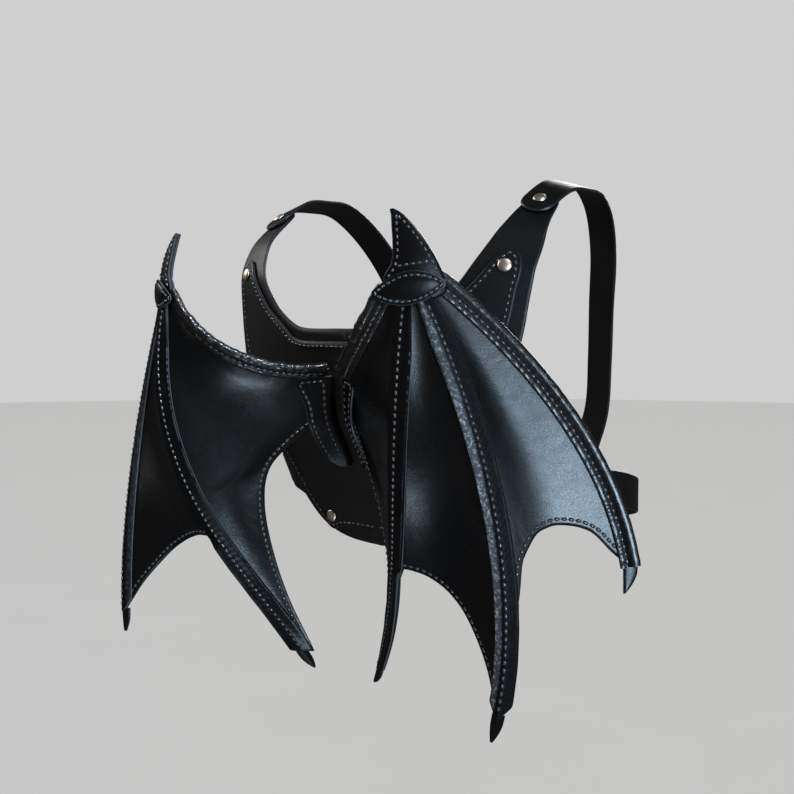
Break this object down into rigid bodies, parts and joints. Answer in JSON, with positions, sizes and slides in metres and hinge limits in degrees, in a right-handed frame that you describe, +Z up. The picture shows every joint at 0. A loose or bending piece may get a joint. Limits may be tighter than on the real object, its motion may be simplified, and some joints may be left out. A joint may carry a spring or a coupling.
{
  "type": "costume dragon wings",
  "caption": "Pair of scalloped bat-like leather wings with ribbed bones, thumb claws and stitched edges on a leather back harness with shoulder and rib straps.",
  "frame": {"origin": "on the spine, level with the wings' roots, on the harness face that touches the wearer's back", "axes": "+X the wearer's right, +Y the wearer's front, +Z up"},
  "size_m": [0.4673, 0.3508, 0.3732],
  "materials": {
    "wing_leather": "semi-gloss black, fine grain",
    "harness_leather": "satin black with brownish cast",
    "binding_leather": "glossy black, wrinkled over the roll",
    "rivet_metal": "polished warm nickel",
    "clasp_metal": "satin"
  },
  "bodies": {
    "root": {"right_membrane": "wing_leather", "right_inner_bone": "wing_leather", "right_middle_bone": "wing_leather", "right_arm_binding": "binding_leather", "right_outer_binding": "binding_leather", "right_inner_claw": "wing_leather", "right_middle_claw": "wing_leather", "right_outer_claw": "wing_leather", "right_knuckle_patch": "wing_leather", "right_thumb_claw_outer": "wing_leather", "right_thumb_claw_inner": "wing_leather", "right_root_tongue": "wing_leather", "left_membrane": "wing_leather", "left_inner_bone": "wing_leather", "left_middle_bone": "wing_leather", "left_arm_binding": "binding_leather", "left_outer_binding": "binding_leather", "left_inner_claw": "wing_leather", "left_middle_claw": "wing_leather", "left_outer_claw": "wing_leather", "left_knuckle_patch": "wing_leather", "left_thumb_claw_outer": "wing_leather", "left_thumb_claw_inner": "wing_leather", "left_root_tongue": "wing_leather", "yoke": "harness_leather", "back_plate": "harness_leather", "right_shoulder_strap": "harness_leather", "left_shoulder_strap": "harness_leather", "right_rib_strap": "harness_leather", "left_rib_strap": "harness_leather", "front_clasp": "clasp_metal", "right_horn_rivet": "rivet_metal", "right_base_rivet": "rivet_metal", "right_shoulder_rivet": "rivet_metal", "right_rib_rivet": "rivet_metal", "left_horn_rivet": "rivet_metal", "left_base_rivet": "rivet_metal", "left_shoulder_rivet": "rivet_metal", "left_rib_rivet": "rivet_metal"}
  },
  "joints": []
}
